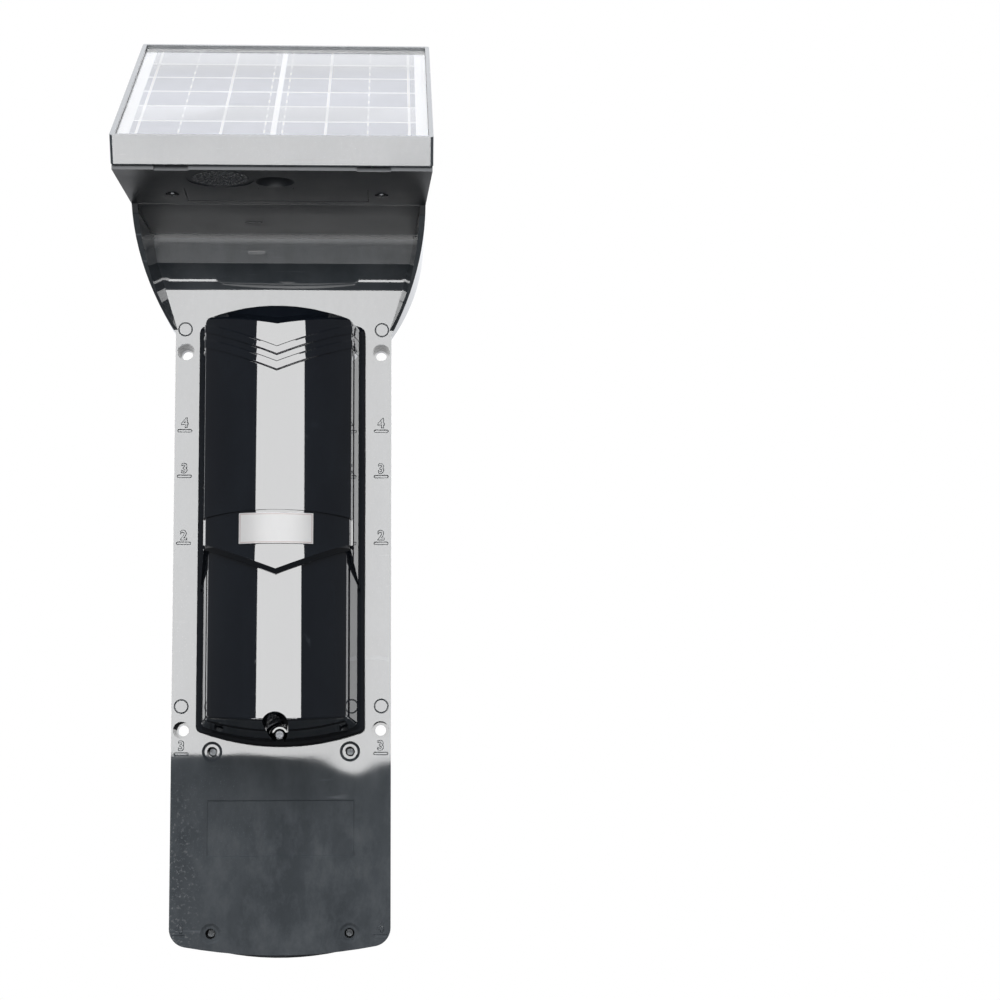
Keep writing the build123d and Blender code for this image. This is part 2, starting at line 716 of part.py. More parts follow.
def make_detector_base():
    base = extrude(det_outline(0, facing(0, 0, 0)), base_reach)
    base -= extrude(det_outline(base_wall, facing(0, base_wall, 0)), base_reach)
    post = rod(facing(0, base_wall - 0.5, screw_z), 4.6, base_reach - base_wall)
    base += post & extrude(det_outline(0, facing(0, 0, 0)), base_reach)
    base -= rod(facing(0, base_wall, screw_z), cover_screw_shank + pilot_gap, base_reach)
    base -= rod(facing(0, -1, 0), grommet_radius, base_wall + 2)
    for x, z in corner_points(base_screw_half, base_screw_rows):
        base -= rod(facing(x, -1, z), screw_shank_radius + clear_gap, base_wall + 2)
    return base


def make_gasket():
    ring = det_outline(gasket_inset, facing(0, base_reach, 0)) - det_outline(
        gasket_inset + gasket_width, facing(0, base_reach, 0))
    return extrude(ring, gasket_thickness)


def above_or_below(mid, slope, upwards):
    """What lies above the cover's foot arc or below its head arc, drawn in by a slope to the front."""
    wide = det_half + 5
    rise = det_rise * (wide / det_half) ** 2
    sign = 1 if upwards else -1
    far = mid + sign * 2 * (det_top - det_bottom)
    arc = ThreePointArc((-wide, mid + sign * rise), (0, mid), (wide, mid + sign * rise))
    rim = Polyline((wide, mid + sign * rise), (wide, far), (-wide, far), (-wide, mid + sign * rise))
    face = facing(0, base_reach, 0) * make_face([arc, rim])
    return extrude(face, 2 * upper_front, dir=(0, -1, sign * slope))


def cover_block(front, edge_reach, edge_half, inset):
    """The cover's block, drawn in on all sides and rounded across its front, set in by a wall."""
    foot_reach = base_reach + gasket_thickness
    foot_inset = skirt_inset + shoulder_inset
    foot_half = det_half - foot_inset - inset
    slope = (foot_half + inset - edge_half) / (edge_reach - foot_reach)
    far = front + 3.0
    far_half = foot_half - slope * (far - foot_reach)
    plan = Polygon((far_half, y_at(far)), (foot_half, y_at(foot_reach)), (-foot_half, y_at(foot_reach)),
                   (-far_half, y_at(far)), align=None)
    drop = front - edge_reach
    radius = (edge_half ** 2 + drop ** 2) / (2 * drop)
    behind = y_at(edge_reach - 6)
    round_front = (Pos(0, y_at(front - radius)) * Circle(radius - inset)) + (
        Pos(0, behind / 2) * Rectangle(4 * det_half, -behind))
    block = extrude(Plane.XY.offset(det_bottom - 20) * (plan & round_front), det_top - det_bottom + 40)
    low_slope = (front_bottom - det_bottom - foot_inset) / (lower_front - foot_reach)
    high_slope = (det_top - foot_inset - front_top) / (upper_front - foot_reach)
    lead = foot_reach - base_reach
    block = block & above_or_below(det_bottom + foot_inset + inset - low_slope * lead, low_slope, True)
    block = block & above_or_below(det_top - foot_inset - inset + high_slope * lead, high_slope, False)
    wide_half = far_half + 1
    corners = [e for e in block.edges() if abs(e.center().X) > wide_half and e.length > 20
               and abs(e.center().Z) > 100]
    block = fillet(corners, max(det_corner - 1 - inset, 0.8))
    if inset > 0:
        return block
    front_edges = [e for e in block.edges() if e.bounding_box().max.Y < y_at(edge_reach - 8)]
    return fillet(front_edges, cover_edge)


def above_seam(shift):
    """What lies above the V seam at the front and above its sloping ends at the sides."""
    top = det_top + 10
    apex, side_z = seam_apex + shift, seam_side + shift
    wide = det_half + 10
    rate = (seam_side - seam_apex) / upper_edge_half
    front = Polygon((0, apex), (wide, apex + rate * wide), (wide, top), (-wide, top), (-wide, apex + rate * wide),
                    align=None)
    front = extrude(facing(0, 0, 0) * front, upper_front + 10)
    low = side_z - seam_side_slope * upper_edge_reach
    high = side_z + seam_side_slope * 20
    ends = across([Polyline(side(0, low), side(upper_edge_reach + 20, high), side(upper_edge_reach + 20, top),
                            side(0, top), side(0, low))], det_half + 10)
    return front + ends


def chevron_prism(apex_high, apex_low):
    wide = det_half
    rise = chevron_slope * wide
    band = Polygon((0, apex_low), (wide, apex_low + rise), (wide, apex_high + rise), (0, apex_high),
                   (-wide, apex_high + rise), (-wide, apex_low + rise), align=None)
    return extrude(facing(0, 30, 0) * band, upper_front)


def band_region():
    """The shallow band across the cover, with an arched top and a straight bottom."""
    wide = upper_edge_half + 4
    face = make_face([
        Line((-wide, band_line), (wide, band_line)),
        Line((wide, band_line), (wide, band_arc_side)),
        ThreePointArc((wide, band_arc_side), (0, band_arc_mid), (-wide, band_arc_side)),
        Line((-wide, band_arc_side), (-wide, band_line)),
    ])
    return extrude(facing(0, upper_edge_reach - 8, 0) * face, upper_front)


def cap_cut(inset):
    """What is cut off above the shallow V, so that the front leans back to the cover's top edge."""
    drop = upper_front - upper_edge_reach
    radius = (upper_edge_half ** 2 + drop ** 2) / (2 * drop)
    foot_radius = radius - inset + cap_lead * math.tan(math.radians(cap_taper))
    foot_z = cap_apex - cap_lead - inset * math.tan(math.radians(cap_taper / 2))
    middle = y_at(upper_front - radius)
    outline = Pos(0, middle) * Circle(foot_radius) + Pos(0, middle / 2 + 20) * Rectangle(
        2 * foot_radius, 40 - middle)
    rise = math.atan(cap_slope)
    cuts = Part()
    for s in (-1, 1):
        foot = Plane(origin=(0, 0, foot_z), x_dir=(math.cos(rise), 0, s * math.sin(rise)),
                     z_dir=(-s * math.sin(rise), 0, math.cos(rise)))
        leaned = extrude(foot * outline, det_top - cap_apex, taper=cap_taper)
        above = extrude(foot * Pos(0, middle) * Rectangle(6 * det_half, 6 * det_half), det_top - cap_apex)
        beside = Pos(s * det_half, middle, foot_z) * Box(2 * det_half, 6 * det_half, 2 * det_half)
        cuts += (above - leaned) & beside
    return cuts


def make_cover_and_badge():
    upper = cover_block(upper_front, upper_edge_reach, upper_edge_half, 0)
    lower = cover_block(lower_front, lower_edge_reach, lower_edge_half, 0)
    upper_part = upper & above_seam(0)
    swollen = cover_block(upper_front + chevron_relief, upper_edge_reach + chevron_relief * 0.6,
                          upper_edge_half + chevron_relief * 0.6, 0)
    for high, low in chevrons:
        upper_part += swollen & chevron_prism(high, low)
    sunk = cover_block(upper_front - band_depth, upper_edge_reach - band_depth * 0.6,
                       upper_edge_half - band_depth * 0.6, 0)
    band = (upper & band_region()) - sunk
    upper_part -= band
    upper_part -= cap_cut(0)
    cover = upper_part + lower
    foot_reach = base_reach + gasket_thickness
    cover += extrude(det_outline(skirt_inset, facing(0, foot_reach, 0)), skirt_height)
    room = cover_block(lower_front, lower_edge_reach, lower_edge_half, cover_wall)
    room += cover_block(upper_front, upper_edge_reach, upper_edge_half, cover_wall) & above_seam(cover_wall + 1)
    room += extrude(det_outline(skirt_inset + shoulder_inset + cover_wall, facing(0, foot_reach, 0)),
                    skirt_height)
    room -= cap_cut(cover_wall)
    cover -= room
    mouth_reach = lower_front + 6
    sleeve = loft([
        facing(0, foot_reach, screw_z) * Circle(scallop_seat_radius + scallop_wall).face(),
        facing(0, mouth_reach, scallop_mouth_z) * Circle(scallop_mouth_radius + scallop_wall).face(),
    ])
    channel = loft([
        facing(0, scallop_seat, screw_z) * Circle(scallop_seat_radius).face(),
        facing(0, mouth_reach, scallop_mouth_z) * Circle(scallop_mouth_radius).face(),
    ])
    cover += sleeve & (lower + extrude(det_outline(skirt_inset, facing(0, foot_reach, 0)), skirt_height))
    cover -= channel
    cover -= rod(facing(0, foot_reach - 1, screw_z), cover_screw_shank + clear_gap, 10)
    badge_face = Pos(0, (badge_bottom + badge_top) / 2) * Rectangle(2 * badge_half, badge_top - badge_bottom)
    badge = extrude(facing(0, upper_edge_reach, 0) * badge_face, upper_front)
    proud = cover_block(upper_front + badge_proud, upper_edge_reach, upper_edge_half, 0)
    return cover, (badge & proud) - sunk


def make_cover_screw():
    screw = pan_screw(cover_screw_head, 3.2, cover_screw_shank, scallop_seat - base_wall - 1.0)
    return facing(0, scallop_seat, screw_z) * screw


def make_grommet():
    low = -face_wall - 1.0
    high = base_wall + 1.0
    ring = rod(facing(0, low, 0), grommet_radius - 0.1, high - low)
    ring += rod(facing(0, low - 0.2, 0), grommet_radius + grommet_flange, 1.0)
    ring += rod(facing(0, high - 0.8, 0), grommet_radius + grommet_flange, 1.0)
    return ring - rod(facing(0, low - 2, 0), grommet_bore, high - low + 4)


def make_optics(number):
    """One optical unit: turntable yoke, lens holder, double lens and its circuit board."""
    yaw_z = yaw_height[number]
    tilt_z = tilt_height[number]
    table = yaw_z + shelf_wall + running_gap
    axis = Pos(0, y_at(axis_reach), 0)
    low = (Align.CENTER, Align.CENTER, Align.MIN)
    yoke = axis * Pos(0, 0, table) * Cylinder(turntable_radius, turntable_wall, align=low)
    yoke += axis * Pos(0, 0, yaw_z - 3) * Cylinder(hub_radius, shelf_wall + 4, align=low)
    arm_height = tilt_z + 6 - table
    for s in (-1, 1):
        arm = axis * Pos(s * (arm_inner + arm_wall / 2), 0, table) * Box(
            arm_wall, 2 * arm_half, arm_height, align=low)
        yoke += arm
    yoke -= axis * Pos(0, 0, tilt_z) * Rot(0, 90, 0) * Cylinder(trunnion_radius + trunnion_gap, 80)
    middle = axis * Pos(0, 0, tilt_z)
    depth = holder_front + holder_rear
    outer = middle * Pos(0, (holder_rear - holder_front) / 2, 0) * Box(
        2 * holder_half, depth, 2 * holder_half_height)
    outer = fillet(outer.edges().filter_by(Axis.Y), 4)
    inner = middle * Pos(0, -holder_front, 0) * Box(
        2 * (holder_half - holder_wall), depth - holder_wall, 2 * (holder_half_height - holder_wall),
        align=(Align.CENTER, Align.MIN, Align.CENTER))
    holder = outer - inner
    for s in (-1, 1):
        holder += middle * Pos(s * (holder_half - 0.5), 0, 0) * Rot(0, s * 90, 0) * Cylinder(
            trunnion_radius, arm_inner + arm_wall - holder_half + 0.5, align=low)
    front = y_at(axis_reach) - holder_front
    lens = Pos(0, front - lens_wall / 2, tilt_z) * Box(
        2 * holder_half - 1, lens_wall, 2 * holder_half_height - 1)
    cap_radius = (lens_radius ** 2 + lens_bulge ** 2) / (2 * lens_bulge)
    for s in (-1, 1):
        ball = Pos(0, front - lens_wall - lens_bulge + cap_radius, tilt_z + s * lens_offset) * Sphere(cap_radius)
        lens += ball & (Pos(0, front - lens_wall, tilt_z + s * lens_offset) * Rot(90, 0, 0) * Cylinder(
            lens_radius + 1, 2 * lens_bulge + 0.5))
    rear = y_at(axis_reach) + holder_rear - holder_wall - 2.0
    board = Pos(0, rear - board_wall / 2, tilt_z) * Box(
        2 * (holder_half - holder_wall) - 1, board_wall, 2 * (holder_half_height - holder_wall) - 1)
    for s in (-1, 1):
        board += Pos(0, rear - board_wall + 0.2, tilt_z + s * lens_offset) * Rot(90, 0, 0) * Cylinder(
            2.5, 6.0, align=low)
        holder += Pos(s * 14, rear, tilt_z) * Rot(-90, 0, 0) * Cylinder(2, 2.5, align=low)
    return yoke, holder, lens, board


def make_chassis():
    low, high = yaw_height[1], yaw_height[0] + shelf_wall
    depth = rail_reach - base_wall
    chassis = Part()
    for s in (-1, 1):
        chassis += Pos(s * (rail_inner + rail_outer) / 2, y_at(base_wall + depth / 2), (low + high) / 2) * Box(
            rail_outer - rail_inner, depth, high - low)
    for z in yaw_height:
        plate = extrude(Plane.XY.offset(z) * (
            (Pos(0, y_at(axis_reach)) * Circle(turntable_radius))
            + Pos(0, y_at((base_wall + axis_reach) / 2)) * Rectangle(
                2 * turntable_radius, axis_reach - base_wall)
            + Pos(0, y_at(base_wall + depth / 2)) * Rectangle(2 * rail_inner + 1, depth)), shelf_wall)
        plate -= Pos(0, y_at(axis_reach), z) * Cylinder(hub_radius + hub_gap, 20)
        chassis += plate
    return chassis


def make_detector_board():
    face = rail_reach - board_wall
    board = Pos(0, y_at(face + board_wall / 2), signal_mid) * Box(2 * rail_inner - 1, board_wall, signal_height)
    for x, z, width, depth, height in ((-20, -3, 12, 4, 8), (0, -6, 10, 5, 10), (22, -4, 8, 3, 14)):
        board += Pos(x, y_at(rail_reach + depth / 2 - 0.1), z) * Box(width, depth, height)
    for s in (-1, 1):
        board += Pos(s * 30, y_at((base_wall + face) / 2), -20) * Rot(90, 0, 0) * Cylinder(
            2.5, face - base_wall)
    return board


def make_terminals():
    block = Pos(0, y_at(rail_reach + 5.0), 8.2) * Box(50, 10, 9)
    for k in range(6):
        x = -20.8 + 8.3 * k
        block -= facing(x, rail_reach + 8.0, 8.2) * Cylinder(2.4, 10, align=(Align.CENTER, Align.CENTER, Align.MIN))
    return block


def make_tamper_switch():
    body = Pos(33, y_at(rail_reach + 4), 8.2) * Box(6, 8, 8)
    return body + Pos(33, y_at(rail_reach + 8.5), 8.2) * Box(2.5, 3, 2.5)


def build_all():
    os.makedirs("parts", exist_ok=True)
    case_screws, base_screws, floor_screws = make_screws()
    glass, cells, backing = make_panel()
    cover, badge = make_cover_and_badge()
    radio, antenna = make_radio()
    upper = make_optics(0)
    lower = make_optics(1)
    pieces = {
        "front_housing": make_front_housing(),
        "rear_cover": make_rear_cover(),
        "head_shell": make_head_shell(),
        "head_floor": make_head_floor(),
        "battery_door": make_battery_door(),
        "battery_pack": make_battery(),
        "solar_glass": glass,
        "solar_cells": cells,
        "solar_backing": backing,
        "speaker": make_speaker(),
        "charge_board": make_charge_board(),
        "radio_board": radio,
        "antenna": antenna,
        "case_screws": case_screws,
        "base_screws": base_screws,
        "floor_screws": floor_screws,
        "detector_base": make_detector_base(),
        "cover_gasket": make_gasket(),
        "detector_cover": cover,
        "badge_plate": badge,
        "cover_screw": make_cover_screw(),
        "cable_grommet": make_grommet(),
        "optics_chassis": make_chassis(),
        "detector_board": make_detector_board(),
        "terminal_block": make_terminals(),
        "tamper_switch": make_tamper_switch(),
    }
    for name, unit in (("upper", upper), ("lower", lower)):
        for label, shape in zip(("yoke", "lens_holder", "lens", "optics_board"), unit):
            pieces[name + "_" + label] = shape
    for name, shape in pieces.items():
        export_step(shape, "parts/" + name + ".step")


build_all()
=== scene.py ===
import bmesh
import bpy
import math
from mathutils import Matrix, Vector


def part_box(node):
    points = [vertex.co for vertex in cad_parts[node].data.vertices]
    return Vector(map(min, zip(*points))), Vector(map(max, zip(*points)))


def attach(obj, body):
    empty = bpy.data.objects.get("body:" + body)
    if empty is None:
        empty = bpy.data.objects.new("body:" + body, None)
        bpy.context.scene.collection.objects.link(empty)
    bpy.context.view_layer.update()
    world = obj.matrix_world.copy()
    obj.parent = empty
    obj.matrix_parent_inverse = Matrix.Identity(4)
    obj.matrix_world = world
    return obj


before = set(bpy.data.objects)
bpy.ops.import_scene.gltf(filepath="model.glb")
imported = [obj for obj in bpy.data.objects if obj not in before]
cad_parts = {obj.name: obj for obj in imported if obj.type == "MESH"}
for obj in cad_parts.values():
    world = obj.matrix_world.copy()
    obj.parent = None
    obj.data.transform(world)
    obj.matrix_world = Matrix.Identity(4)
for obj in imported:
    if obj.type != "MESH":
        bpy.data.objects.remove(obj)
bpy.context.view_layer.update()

# The studio. The camera stands 1.5 m in front of the board, turned as the photograph's was. The
# backdrop is white and the room in front is dim. A wide softbox in front, a low strip and a bright
# ceiling behind give the long reflections on the polished plastic, and broad soft light does the rest.
camera_turn = [math.radians(a) for a in (-6.93, 2.47, -0.07)]
camera_offset = Vector((-0.1325, -0.0261, -1.5138))
turn = (Matrix.Rotation(camera_turn[2], 3, "Z") @ Matrix.Rotation(camera_turn[1], 3, "Y")
        @ Matrix.Rotation(camera_turn[0], 3, "X"))
to_camera = turn @ Matrix(((1, 0, 0), (0, 0, 1), (0, -1, 0)))
from_camera = to_camera.transposed()
camera_data = bpy.data.cameras.new("camera")
camera_data.sensor_width = 36
camera_data.lens = 36 * 2.4692
camera_data.clip_end = 20
camera = bpy.data.objects.new("camera", camera_data)
bpy.context.scene.collection.objects.link(camera)
camera.matrix_world = Matrix.Translation(-(from_camera @ camera_offset)) @ from_camera.to_4x4()
bpy.context.scene.camera = camera
bpy.context.scene.view_settings.view_transform = "Standard"


def ramp(tree, value, low, high, out_low=0.0, out_high=1.0):
    """A clamped straight ramp of a value."""
    node = tree.nodes.new("ShaderNodeMapRange")
    node.inputs["From Min"].default_value = low
    node.inputs["From Max"].default_value = high
    node.inputs["To Min"].default_value = out_low
    node.inputs["To Max"].default_value = out_high
    tree.links.new(value, node.inputs["Value"])
    return node.outputs["Result"]


def calc(tree, operation, first, second=None, third=None):
    """One sum of two or three values, each a socket or a number."""
    node = tree.nodes.new("ShaderNodeMath")
    node.operation = operation
    for socket, value in zip(node.inputs, (first, second, third)):
        if value is None:
            continue
        if isinstance(value, (int, float)):
            socket.default_value = value
        else:
            tree.links.new(value, socket)
    return node.outputs[0]


def studio_world():
    world = bpy.data.worlds.new("studio")
    bpy.context.scene.world = world
    world.use_nodes = True
    tree = world.node_tree
    tree.nodes.clear()
    out = tree.nodes.new("ShaderNodeOutputWorld")
    path = tree.nodes.new("ShaderNodeLightPath")

    def sky(tint):
        node = tree.nodes.new("ShaderNodeBackground")
        node.inputs["Color"].default_value = (*tint, 1)
        return node

    room, backdrop, gloss = sky((1, 1, 1)), sky((1, 1, 1)), sky((0.95, 0.965, 1.0))
    place = tree.nodes.new("ShaderNodeTexCoord")
    split = tree.nodes.new("ShaderNodeSeparateXYZ")
    tree.links.new(place.outputs["Generated"], split.inputs[0])
    behind = ramp(tree, split.outputs["Y"], 0.45, 0.8, 0.13, 1.05)
    high = ramp(tree, split.outputs["Z"], 0.55, 0.8, 0.0, 2.1)
    back_half = ramp(tree, split.outputs["Y"], 0.0, 0.2)
    low = ramp(tree, split.outputs["Z"], -0.35, -0.75, 0.0, 0.22)
    total = calc(tree, "MULTIPLY_ADD", high, back_half, behind)
    total = calc(tree, "ADD", total, low)
    tree.links.new(total, gloss.inputs["Strength"])
    tree.links.new(ramp(tree, split.outputs["Z"], -0.6, 0.2, 0.14, 0.52), room.inputs["Strength"])
    seen = calc(tree, "MAXIMUM", path.outputs["Is Camera Ray"], path.outputs["Is Transmission Ray"])
    first = tree.nodes.new("ShaderNodeMixShader")
    second = tree.nodes.new("ShaderNodeMixShader")
    tree.links.new(path.outputs["Is Glossy Ray"], first.inputs[0])
    tree.links.new(room.outputs[0], first.inputs[1])
    tree.links.new(gloss.outputs[0], first.inputs[2])
    tree.links.new(seen, second.inputs[0])
    tree.links.new(first.outputs[0], second.inputs[1])
    tree.links.new(backdrop.outputs[0], second.inputs[2])
    tree.links.new(second.outputs[0], out.inputs["Surface"])


def add_softbox(name, place, aim, width, height, radiance, gloss_only):
    """A rectangular lamp of a stated radiance. A gloss card lights reflections only."""
    light = bpy.data.lights.new(name, "AREA")
    light.shape = "RECTANGLE"
    light.size = width
    light.size_y = height
    light.energy = radiance * math.pi * width * height
    lamp = bpy.data.objects.new(name, light)
    lamp.location = place
    lamp.rotation_euler = (Vector(aim) - Vector(place)).to_track_quat("-Z", "Y").to_euler()
    lamp.visible_camera = False
    lamp.visible_diffuse = not gloss_only
    lamp.visible_transmission = False
    lamp.visible_glossy = gloss_only
    bpy.context.scene.collection.objects.link(lamp)


studio_world()
add_softbox("front_softbox", (0.059, -1.07, 0.345), (0.059, 0.0, 0.345), 1.23, 0.92, 1.7, False)
add_softbox("front_card", (0.059, -1.071, 0.345), (0.059, 0.0, 0.345), 1.23, 0.92, 9.1, True)
add_softbox("low_card", (-0.06, -0.985, -0.69), (0.0, -0.18, 0.198), 1.3, 0.14, 9.0, True)
add_softbox("left_softbox", (-1.5, -0.9, 0.6), (0.0, -0.1, 0.0), 0.9, 0.9, 1.1, False)
add_softbox("back_softbox", (0.3, 1.1, 1.2), (0.0, 0.0, 0.1), 1.2, 1.0, 1.0, False)

floor_level = -0.9
floor_half = 3.0
floor_mesh = bpy.data.meshes.new("floor")
floor_sides = ((-1, -1), (1, -1), (1, 1), (-1, 1))
floor_corners = [(x * floor_half, y * floor_half, floor_level) for x, y in floor_sides]
floor_mesh.from_pydata(floor_corners, [], [(0, 1, 2, 3)])
floor = bpy.data.objects.new("floor", floor_mesh)
bpy.context.scene.collection.objects.link(floor)
floor_paper = bpy.data.materials.new("floor_paper")
floor_paper.use_nodes = True
floor_tree = floor_paper.node_tree
floor_path = floor_tree.nodes.new("ShaderNodeLightPath").outputs
floor_seen = calc(floor_tree, "MAXIMUM", floor_path["Is Camera Ray"], floor_path["Is Transmission Ray"])
floor_grey = floor_tree.nodes.new("ShaderNodeMixRGB")
floor_grey.inputs["Color1"].default_value = (0.12, 0.12, 0.12, 1)
floor_grey.inputs["Color2"].default_value = (0.85, 0.85, 0.85, 1)
floor_shader = floor_tree.nodes["Principled BSDF"]
floor_tree.links.new(floor_seen, floor_grey.inputs["Fac"])
floor_tree.links.new(floor_grey.outputs["Color"], floor_shader.inputs["Base Color"])
floor_shader.inputs["Roughness"].default_value = 0.9
floor_shader.inputs["Specular IOR Level"].default_value = 0.0
floor_mesh.materials.append(floor_paper)

# The case: board with its hood, rear cover, head and head floor. Each is one injection moulding in
# slate grey ABS off a polished tool, so it mirrors the room, a little wavy where the plastic has
# sunk, with faint flow clouds, wiped dust and fine rub marks.
case_dark = (0.068, 0.078, 0.089)
case_pale = (0.098, 0.110, 0.123)


def add_socket(group, name, kind, direction, value=None):
    socket = group.interface.new_socket(name=name, in_out=direction, socket_type=kind)
    if value is not None:
        socket.default_value = value


def noise(tree, vector, scale, detail, rough=0.5):
    node = tree.nodes.new("ShaderNodeTexNoise")
    node.inputs["Detail"].default_value = detail
    node.inputs["Roughness"].default_value = rough
    if isinstance(scale, (int, float)):
        node.inputs["Scale"].default_value = scale
    else:
        tree.links.new(scale, node.inputs["Scale"])
    tree.links.new(vector, node.inputs["Vector"])
    return node.outputs["Fac"]


def stretched(tree, vector, scale, rotation=(0, 0, 0)):
    node = tree.nodes.new("ShaderNodeMapping")
    node.inputs["Scale"].default_value = scale
    node.inputs["Rotation"].default_value = rotation
    tree.links.new(vector, node.inputs["Vector"])
    return node.outputs[0]


def moulding_group():
    """Waviness, flow clouds, rub marks and dust of a moulded surface."""
    group = bpy.data.node_groups.new("moulded_surface", "ShaderNodeTree")
    add_socket(group, "Wave Size", "NodeSocketFloat", "INPUT", 14.0)
    add_socket(group, "Wave Height", "NodeSocketFloat", "INPUT", 1.0)
    add_socket(group, "Grain Height", "NodeSocketFloat", "INPUT", 0.04)
    for name in ("Height", "Flow", "Rubs", "Dust"):
        add_socket(group, name, "NodeSocketFloat", "OUTPUT")
    enter = group.nodes.new("NodeGroupInput")
    leave = group.nodes.new("NodeGroupOutput")
    place = group.nodes.new("ShaderNodeTexCoord").outputs["Object"]
    wave = noise(group, place, enter.outputs["Wave Size"], 1.0, 0.4)
    grain = noise(group, place, 900.0, 3.0)
    tall_wave = calc(group, "MULTIPLY", wave, enter.outputs["Wave Height"])
    height = calc(group, "MULTIPLY_ADD", grain, enter.outputs["Grain Height"], tall_wave)
    group.links.new(height, leave.inputs["Height"])
    flow = noise(group, stretched(group, place, (1.0, 1.0, 0.45)), 38.0, 6.0, 0.62)
    group.links.new(flow, leave.inputs["Flow"])
    rub = noise(group, stretched(group, place, (16.0, 420.0, 160.0), (0.3, 0.9, 0.4)), 1.0, 2.0)
    patch = noise(group, place, 22.0, 2.0)
    rubs = calc(group, "MULTIPLY", ramp(group, rub, 0.66, 0.74), ramp(group, patch, 0.5, 0.68))
    group.links.new(rubs, leave.inputs["Rubs"])
    speck = noise(group, place, 1400.0, 1.0)
    cloud = noise(group, place, 9.0, 3.0)
    dust = calc(group, "MULTIPLY", ramp(group, speck, 0.68, 0.76), ramp(group, cloud, 0.45, 0.7))
    group.links.new(dust, leave.inputs["Dust"])
    return group


moulding = moulding_group()


def mixed(tree, fac, first, second):
    """Two colours mixed by a mask. Each is a socket or a plain colour."""
    node = tree.nodes.new("ShaderNodeMixRGB")
    tree.links.new(fac, node.inputs["Fac"])
    for socket, value in ((node.inputs["Color1"], first), (node.inputs["Color2"], second)):
        if isinstance(value, tuple):
            socket.default_value = (*value, 1)
        else:
            tree.links.new(value, socket)
    return node.outputs["Color"]


def plastic(name, dark, pale, rough_low, rough_high, ior, wave, grain, bump, rub_light=2.2,
            extra=None):
    """A moulded plastic: tints by flow, rub marks and dust, roughness by flow and rubs, and waviness."""
    material = bpy.data.materials.new(name)
    material.use_nodes = True
    tree = material.node_tree
    shader = tree.nodes["Principled BSDF"]
    shader.inputs["IOR"].default_value = ior
    surface = tree.nodes.new("ShaderNodeGroup")
    surface.node_tree = moulding
    surface.inputs["Wave Size"].default_value = wave[0]
    surface.inputs["Wave Height"].default_value = wave[1]
    surface.inputs["Grain Height"].default_value = grain
    rubbed = tuple(min(1.0, c * rub_light) for c in pale)
    colour = mixed(tree, ramp(tree, surface.outputs["Flow"], 0.38, 0.68), dark, pale)
    colour = mixed(tree, surface.outputs["Rubs"], colour, rubbed)
    colour = mixed(tree, calc(tree, "MULTIPLY", surface.outputs["Dust"], 0.5), colour, rubbed)
    rough = ramp(tree, surface.outputs["Flow"], 0.3, 0.75, rough_low, rough_high)
    rough = calc(tree, "MULTIPLY_ADD", surface.outputs["Rubs"], 0.15, rough)
    height = surface.outputs["Height"]
    if extra:
        colour, rough, height = extra(tree, colour, rough, height)
    tree.links.new(colour, shader.inputs["Base Color"])
    tree.links.new(rough, shader.inputs["Roughness"])
    relief = tree.nodes.new("ShaderNodeBump")
    relief.inputs["Strength"].default_value = 1.0
    relief.inputs["Distance"].default_value = bump
    tree.links.new(height, relief.inputs["Height"])
    tree.links.new(relief.outputs["Normal"], shader.inputs["Normal"])
    return material


def place_of(tree):
    """Object coordinates, and their X, Y and Z."""
    place = tree.nodes.new("ShaderNodeTexCoord").outputs["Object"]
    split = tree.nodes.new("ShaderNodeSeparateXYZ")
    tree.links.new(place, split.inputs[0])
    return place, split.outputs["X"], split.outputs["Y"], split.outputs["Z"]


def dress(material, *nodes):
    """Gives nodes of the frame one material."""
    for node in nodes:
        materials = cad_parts[node].data.materials
        materials.clear()
        materials.append(material)


scuff_side = -0.045
scuff_fade = 0.015
wear_top = -0.14
wear_fade = 0.04
recess_level = 0.1838
recess_fade = 0.0008
wiped_grey = (0.15, 0.166, 0.182)
scuff_grey = (0.3, 0.315, 0.33)
recess_painted_shade = (0.022, 0.027, 0.034)


def board_wear(tree, colour, rough, height):
    """Pale scuffs low on the left side, cloudy wiping marks low down, and painted shade in the recess under
    the head, which is also made rougher.
    """
    place, x, y, z = place_of(tree)
    at_side = ramp(tree, x, scuff_side, scuff_side - scuff_fade)
    low_down = ramp(tree, z, wear_top, wear_top - wear_fade)
    specks = ramp(tree, noise(tree, place, 420.0, 4.0, 0.7), 0.55, 0.66)
    scuffs = calc(tree, "MULTIPLY", calc(tree, "MULTIPLY", at_side, low_down), specks)
    clouds = ramp(tree, noise(tree, stretched(tree, place, (1.0, 1.0, 0.6)), 60.0, 6.0, 0.7), 0.45, 0.75)
    wiped = calc(tree, "MULTIPLY", calc(tree, "MULTIPLY", clouds, low_down), 0.7)
    colour = mixed(tree, wiped, colour, wiped_grey)
    colour = mixed(tree, calc(tree, "MULTIPLY", scuffs, 0.8), colour, scuff_grey)
    rough = calc(tree, "MULTIPLY_ADD", wiped, 0.12, rough)
    # Painted shade: above this level, inside the hood under the head, the board's colour turns near black to
    # stand in for the shade there.
    recess = ramp(tree, z, recess_level, recess_level + recess_fade)
    colour = mixed(tree, recess, colour, recess_painted_shade)
    rough = calc(tree, "MULTIPLY_ADD", recess, 0.32, rough)
    return colour, rough, height


board_plastic = plastic("board_plastic", case_dark, case_pale, 0.02, 0.05, 1.66, (16.0, 1.0), 0.003, 0.0006,
                        extra=board_wear)
head_plastic = plastic("head_plastic", case_dark, case_pale, 0.06, 0.13, 1.66, (12.0, 1.0), 0.02, 0.0008)
# Painted shade: the head floor and battery door are the case's slate grey plastic, coloured near black here
# for the shade under the head.
underside_painted_shade = plastic("underside_painted_shade", (0.018, 0.022, 0.028), (0.028, 0.033, 0.041), 0.34, 0.42, 1.36,
                        (14.0, 1.0), 0.03, 0.0006)
dress(board_plastic, "front_housing", "rear_cover")
dress(head_plastic, "head_shell")
dress(underside_painted_shade, "head_floor", "battery_door")

